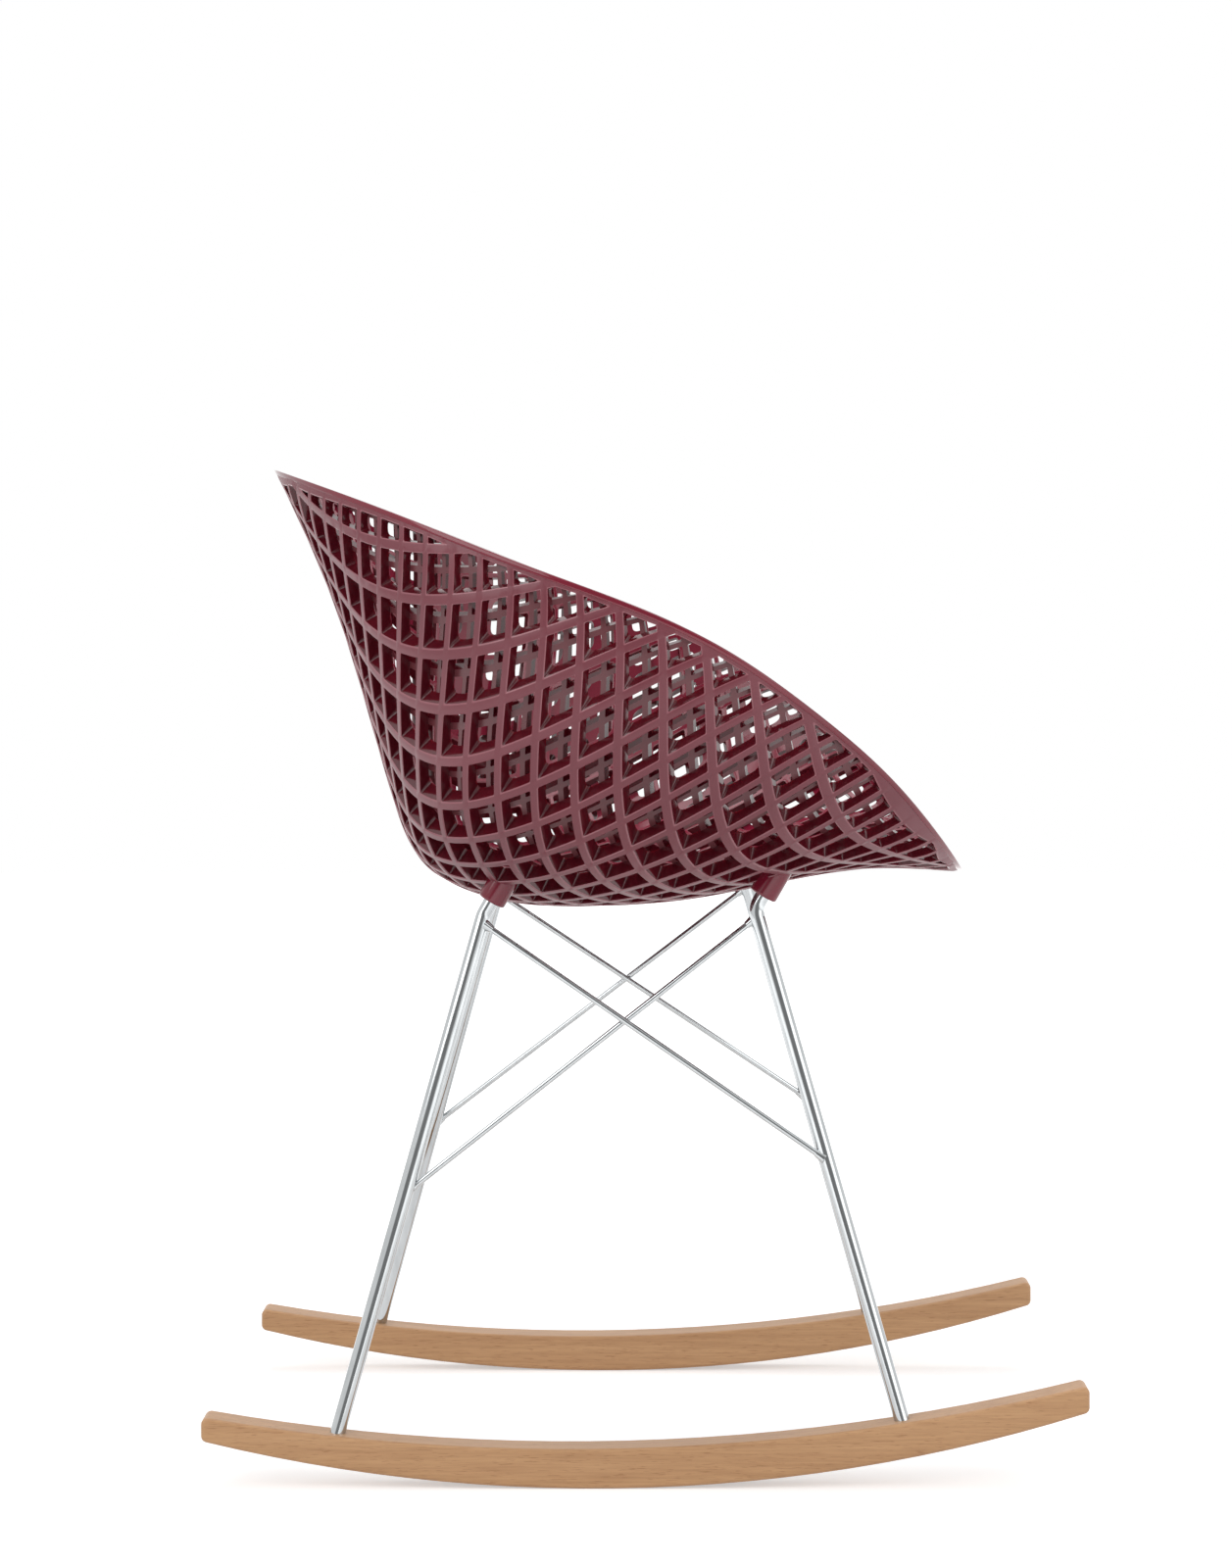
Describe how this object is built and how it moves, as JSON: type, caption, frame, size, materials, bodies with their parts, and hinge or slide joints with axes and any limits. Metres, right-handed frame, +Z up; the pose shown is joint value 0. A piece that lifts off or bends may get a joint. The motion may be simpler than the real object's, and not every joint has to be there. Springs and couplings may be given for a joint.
{
  "type": "moulded plastic rocking chair",
  "caption": "Rocking chair with an open lattice bucket shell moulded in one piece, on bright steel rod legs with crossed braces and curved wooden runners.",
  "frame": {"origin": "on the floor, below the middle of the chair's length and width", "axes": "+X the way the chair faces, +Y the sitter's left, +Z up"},
  "size_m": [0.69, 0.615, 0.7998],
  "materials": {
    "shell_plastic": "gloss",
    "plated_rod": "polished",
    "runner_wood": "clear satin lacquer",
    "screw_steel": "zinc plated"
  },
  "bodies": {
    "root": {"seat_shell": "shell_plastic", "leg_front_right": "plated_rod", "leg_front_left": "plated_rod", "leg_rear_right": "plated_rod", "leg_rear_left": "plated_rod", "brace_right_falling": "plated_rod", "brace_right_rising": "plated_rod", "brace_left_falling": "plated_rod", "brace_left_rising": "plated_rod", "weld_beads": "plated_rod", "rocker_right": "runner_wood", "rocker_left": "runner_wood", "rocker_plugs": "runner_wood", "rocker_screws": "screw_steel", "rocker_washers": "screw_steel", "socket_screws": "screw_steel"}
  },
  "joints": []
}
